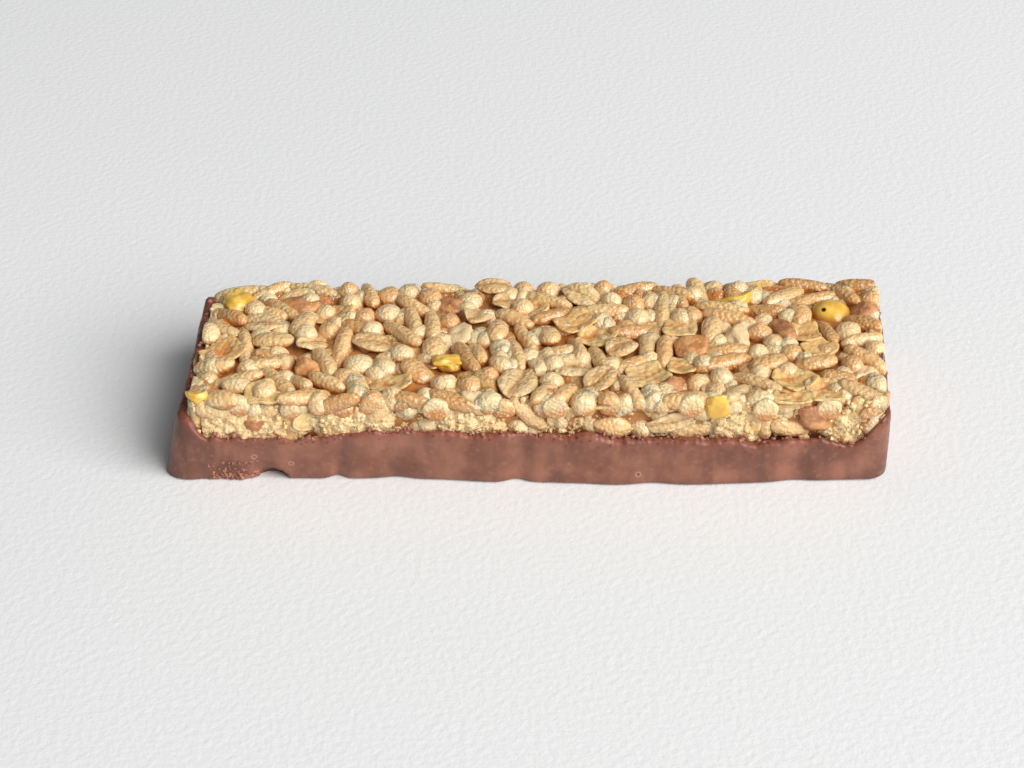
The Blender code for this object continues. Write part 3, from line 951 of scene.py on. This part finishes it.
def mark(bm, first, tone, trim, owns=()):
    """Cuts the newest points back to the slab, and stores what they carry."""
    tones = bm.verts.layers.float["tone"]
    depths = bm.verts.layers.float["depth"]
    places = bm.verts.layers.float_vector["own"]
    bm.verts.ensure_lookup_table()
    for vert in bm.verts[first:]:
        vert.co = cut_back(vert.co, trim)
        vert[tones] = tone
        vert[depths] = depth_at(vert.co)
    for vert, own in zip(bm.verts[first:], owns):
        vert[places] = own


def grain_piece(name, kinds, grains, material):
    """All the grains of some kinds, joined into one piece."""
    bm = marked_mesh()
    for number, grain in enumerate(grains):
        if grain.kind not in kinds:
            continue
        cage = CAGES[grain.kind](grain.half, Vector((number, 0.37 * number, 0)))
        owns = [Vector(place / size for place, size in zip(vert.co, grain.half)) for vert in cage.verts]
        mesh = bpy.data.meshes.new("cage")
        cage.to_mesh(mesh)
        cage.free()
        mesh.transform(grain.placing)
        first = len(bm.verts)
        bm.from_mesh(mesh)
        bpy.data.meshes.remove(mesh)
        mark(bm, first, grain.tone, grain.trim, owns)
    new_piece(name, bm, material, levels=1)


def syrup_core():
    """The block of grains and syrup under those that show, with an uneven skin."""
    bm = bmesh.new()
    bmesh.ops.create_grid(bm, x_segments=220, y_segments=72, size=0.5)
    corners = [corner for corner, _, _ in corners_in(CORE_INSET)]
    for vert in bm.verts:
        u, v = vert.co.x + 0.5, vert.co.y + 0.5
        front = corners[0].lerp(corners[1], u)
        back = corners[3].lerp(corners[2], u)
        vert.co = Vector((*front.lerp(back, v), CORE_FOOT))
    bmesh.ops.reverse_faces(bm, faces=bm.faces)
    made = bmesh.ops.extrude_face_region(bm, geom=list(bm.faces), use_keep_orig=True)
    raised = [item for item in made["geom"] if isinstance(item, bmesh.types.BMVert)]
    for vert in raised:
        large = lumps(vert.co, 2.4 * MM, Vector((3, 5, 7)))
        small = lumps(vert.co, 1.1 * MM, Vector((9, 2, 4)))
        vert.co.z = TOP - CORE_BELOW_TOP + 0.5 * MM * (large + 0.5 * small)
    bmesh.ops.recalc_face_normals(bm, faces=bm.faces)
    piece = new_piece("syrup_core", bm, syrup_material())
    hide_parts("cereal_slab")


def scooped(point):
    """Moves a point that lies in the scallop at the front foot back to the scallop's wall."""
    away = point - SCALLOP_AT
    inside = 1 - (away.x / SCALLOP_SIZE.x) ** 2 - (away.z / SCALLOP_SIZE.z) ** 2
    if inside > 0 and abs(away.y) < 3 * SCALLOP_SIZE.y:
        point.y = max(point.y, SCALLOP_AT.y + SCALLOP_SIZE.y * math.sqrt(inside))
    return point


def chocolate_coat(material):
    """The coat: rows of points from under the foot, up the wall and over the ragged rim to the inside."""
    bm = bmesh.new()
    rim_mark = bm.verts.layers.float.new("rim")
    columns = outline(*COAT_STEPS)
    rows = []
    rims = []
    for at, normal in columns:
        rim = rim_height(at, normal)
        for size, rise in RIM_TEETH:
            rim += rise * MM * lumps(Vector((at.x, at.y, 0)), size * MM, Vector((size, 2, 3)))
        foot = wall_out(at, normal, 0)
        profile = [(foot - FOOT_ROUND, 0.0), (foot - 0.35 * FOOT_ROUND, 0.12 * FOOT_ROUND)]
        profile.append((foot, 0.5 * FOOT_ROUND))
        for k in range(1, WALL_ROWS + 1):
            height = FOOT_ROUND + (rim - 0.5 * MM - FOOT_ROUND) * k / WALL_ROWS
            profile.append((wall_out(at, normal, height), height))
        lip = wall_out(at, normal, rim)
        profile += [(0.75 * lip, rim - 0.1 * MM), (0.3 * lip, rim), (WALL_IN, rim - 0.2 * MM)]
        profile.append((WALL_IN - 1.2 * MM, rim - 1.2 * MM))
        rows.append([scooped(Vector((*(at + normal * offset), height))) for offset, height in profile])
        rims.append(rim)
    ring = [bm.verts.new(row[0]) for row in rows]
    edges = [bm.edges.new((here, there)) for here, there in zip(ring, ring[1:] + ring[:1])]
    bmesh.ops.edgeloop_fill(bm, edges=edges)
    for k in range(1, len(rows[0])):
        made = bmesh.ops.extrude_edge_only(bm, edges=edges)["geom"]
        edges = [item for item in made if isinstance(item, bmesh.types.BMEdge)]
        verts = [item for item in made if isinstance(item, bmesh.types.BMVert)]
        for vert, row, rim in zip(verts, rows, rims):
            vert.co = row[k]
            vert[rim_mark] = min(max(1 - (rim - vert.co.z) / RIM_BAND, 0), 1)
    bmesh.ops.edgeloop_fill(bm, edges=edges)
    bmesh.ops.recalc_face_normals(bm, faces=bm.faces)
    piece = new_piece("chocolate_coat", bm, material)
    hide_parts("chocolate_base")


def crumb(bm, at, radius, rng, trim):
    """Adds a rough crumb round a point, and cuts it back to the slab where it has a trim."""
    first = len(bm.verts)
    bmesh.ops.create_icosphere(bm, subdivisions=1, radius=radius)
    squeeze = Vector(rng.uniform(0.65, 1.25, 3))
    seat = Vector(rng.uniform(0, 50, 3))
    bm.verts.ensure_lookup_table()
    for vert in bm.verts[first:]:
        lump = 1 + 0.9 * noise.noise(1.4 * vert.co / radius + seat)
        vert.co = at + Vector(c * s for c, s in zip(vert.co, squeeze)) * lump
    if trim is not None:
        mark(bm, first, rng.uniform(), trim)


def crumbly(at, normal):
    """How far the crumb fills a cut side, 0 to 1: in places along the front, and half way elsewhere."""
    if normal.y > -0.5:
        return 0.5
    return max(math.exp(-(((at.x / MM - centre) / half_width) ** 4)) for centre, half_width in CRUMBLY)


def crumb_relief(point, fill):
    """How far the porous crumb's face lies behind the cut: domes of broken puffs, with pores."""
    dome = max(1 - (noise.voronoi(point / (1.7 * MM))[0][0] / 0.7) ** 2, 0)
    pore = max(0.42 - noise.voronoi(point / (0.7 * MM))[0][0], 0)
    rough = lumps(point, 0.45 * MM, Vector((4, 4, 4)))
    swell = 0.5 * lumps(point, 1.4 * MM, Vector((8, 1, 6)))
    sink = CRUMB_SINK * (1 - 0.62 * fill)
    sink -= MM * (0.45 * (dome + swell) - 0.7 * pore + 0.35 * rough)
    return max(sink, -0.1 * MM)


def cut_crumb(material):
    """The porous crumb of the cut sides, between and behind the larger grains."""
    bm = bmesh.new()
    for start, end, normal in SIDES:
        first = len(bm.verts)
        columns = round((end - start).length / CRUMB_STEP)
        bmesh.ops.create_grid(bm, x_segments=columns, y_segments=CRUMB_ROWS, size=0.5)
        bm.verts.ensure_lookup_table()
        for vert in bm.verts[first:]:
            at = start.lerp(end, 0.5 + 0.96 * vert.co.x)
            up = vert.co.y + 0.5
            low = rim_height(at, normal) - 1.0 * MM
            point = Vector((*at, low + (TOP - CRUMB_BELOW_TOP - low) * up))
            sink = crumb_relief(point, crumbly(at, normal) * smooth(1.0, 0.6, up))
            vert.co = cut_back(point, 0) - Vector((*normal, 0)) * sink
        edges = [edge for edge in bm.edges if edge.is_boundary]
        made = bmesh.ops.extrude_edge_only(bm, edges=edges)["geom"]
        for item in made:
            if isinstance(item, bmesh.types.BMVert):
                item.co -= Vector((*normal, 0)) * 0.8 * MM
        rim = [item for item in made if isinstance(item, bmesh.types.BMEdge)]
        bmesh.ops.edgeloop_fill(bm, edges=rim)
    bmesh.ops.recalc_face_normals(bm, faces=bm.faces)
    piece = new_piece("cut_crumb", bm, material)


def cereal_crumbs(material):
    """Loose crumbs on the cut sides, thickest where the front is crumbly."""
    rng = np.random.default_rng(71)
    bm = marked_mesh()
    for number in range(CRUMBS_ON_CUT + CRUMBS_ON_SIDES):
        start, end, normal = SIDES[0] if number < CRUMBS_ON_CUT else SIDES[number % 4]
        at = start.lerp(end, rng.uniform(0.02, 0.98))
        if number < CRUMBS_ON_CUT:
            centre, half_width = CRUMBLY[number % len(CRUMBLY)]
            at.x = (centre + rng.uniform(-1, 1) * half_width) * MM
        low = rim_height(at, normal) - 0.4 * MM
        height = low + (TOP - 1.5 * MM - low) * rng.uniform()
        radius = rng.uniform(0.25, 0.6) * MM
        at = at - normal * (0.9 * radius + rng.uniform(0.0, 0.6) * MM)
        crumb(bm, Vector((*at, height)), radius, rng, 0.0)
    piece = new_piece("cereal_crumbs", bm, material)


def chocolate_crumbs(material):
    """Crumbs of chocolate along the rim, and where the front's left foot is scuffed."""
    rng = np.random.default_rng(83)
    bm = bmesh.new()
    for number in range(RIM_CRUMBS + SCUFF_CRUMBS):
        start, end, normal = SIDES[0] if number >= RIM_CRUMBS // 2 else SIDES[number % 4]
        room = 3.2 * MM / (end - start).length
        at = start.lerp(end, rng.uniform(room, 1 - room))
        radius = rng.uniform(0.12, 0.38) * MM
        if number < RIM_CRUMBS:
            height = rim_height(at, normal) + rng.normal(-0.1, 0.35) * MM
            out = rng.uniform(0.0, 0.5) * wall_out(at, normal, height)
        else:
            at.x = rng.uniform(*SCUFF) * MM
            height = 0.5 * MM + 3.0 * MM * rng.uniform() ** 2
            out = wall_out(at, normal, height) - 0.3 * radius
        crumb(bm, Vector((*(at + normal * out), height)), radius, rng, None)
    piece = new_piece("chocolate_crumbs", bm, material)


def all_pieces():
    """Every piece of the bar."""
    grains = all_grains()
    speck_at = next(g for g in grains if g.kind == "fruit").placing.translation + SPECK_AWAY
    rice = grain_material(
        "puffed_rice", (240, 201, 145), (226, 172, 108), (212, 163, 107), (194, 124, 58),
        bubble=0.66 * MM, rise=0.23 * MM, gloss=1.0, soft=0.6, clear=0.42,
    )
    ball = grain_material(
        "crisp_ball", (252, 220, 171), (239, 191, 131), (229, 180, 124), (206, 132, 62),
        bubble=0.52 * MM, rise=0.19 * MM, gloss=0.8, soft=0.5, clear=0.42,
    )
    corn = grain_material(
        "corn_flake", (255, 214, 150), (246, 188, 114), (240, 190, 126), (214, 136, 66),
        bubble=1.1 * MM, rise=0.3 * MM, gloss=0.5, soft=0.4, clear=0.7,
    )
    grain_piece("puffed_rice", ("rice", "puff"), grains, rice)
    grain_piece("crisp_balls", ("ball",), grains, ball)
    grain_piece("rolled_oats", ("oat",), grains, oat_material())
    grain_piece("corn_flakes", ("corn",), grains, corn)
    grain_piece("nut_pieces", ("nut",), grains, nut_material())
    grain_piece("candied_fruit", ("fruit", "yellow"), grains, fruit_material(speck_at))
    crumb_finish = crumb_material()
    cereal_crumbs(crumb_finish)
    cut_crumb(crumb_finish)
    syrup_core()
    chocolate_coat(chocolate_material())
    chocolate_crumbs(crumbled_chocolate_material())


def paper():
    """The pale floor."""
    bm = bmesh.new()
    bmesh.ops.create_grid(bm, x_segments=1, y_segments=1, size=2.5)
    mesh = bpy.data.meshes.new("paper")
    bm.to_mesh(mesh)
    bm.free()
    mesh.materials.append(paper_material())
    floor = bpy.data.objects.new("paper", mesh)
    bpy.context.scene.collection.objects.link(floor)


def window_light():
    """A large window in front and to the right, and the pale room round it."""
    light = bpy.data.lights.new("window", "AREA")
    light.size = WINDOW_SIZE
    light.energy = WINDOW_POWER
    light.color = (1.0, 0.985, 0.96)
    lamp = bpy.data.objects.new("window", light)
    azimuth, elevation = math.radians(WINDOW_AZIMUTH), math.radians(WINDOW_ELEVATION)
    flat = math.cos(elevation)
    towards = Vector((math.cos(azimuth) * flat, math.sin(azimuth) * flat, math.sin(elevation)))
    lamp.location = towards * WINDOW_DISTANCE
    lamp.rotation_euler = towards.to_track_quat("Z", "Y").to_euler()
    bpy.context.scene.collection.objects.link(lamp)
    world = bpy.data.worlds.new("room")
    world.use_nodes = True
    background = world.node_tree.nodes["Background"]
    background.inputs["Color"].default_value = (0.97, 0.985, 1.0, 1)
    background.inputs["Strength"].default_value = ROOM_LIGHT
    bpy.context.scene.world = world
    bpy.context.scene.view_settings.view_transform = "Standard"


def photograph_camera():
    """The camera, in front of the bar and above it."""
    elevation, yaw, roll = (math.radians(a) for a in (CAMERA_ELEVATION, CAMERA_YAW, CAMERA_ROLL))
    flat = math.cos(elevation)
    back = Vector((math.sin(yaw) * flat, -math.cos(yaw) * flat, math.sin(elevation)))
    right = (-back).cross(Vector((0, 0, 1))).normalized()
    up = right.cross(-back)
    turned_right = right * math.cos(roll) + up * math.sin(roll)
    turned_up = up * math.cos(roll) - right * math.sin(roll)
    data = bpy.data.cameras.new("camera")
    data.lens = CAMERA_LENS
    data.sensor_width = 36
    camera = bpy.data.objects.new("camera", data)
    turned = Matrix((turned_right, turned_up, back)).transposed().to_4x4()
    camera.matrix_world = Matrix.Translation(CAMERA_AIM + back * CAMERA_DISTANCE) @ turned
    bpy.context.scene.collection.objects.link(camera)
    bpy.context.scene.camera = camera


all_pieces()
paper()
window_light()
photograph_camera()
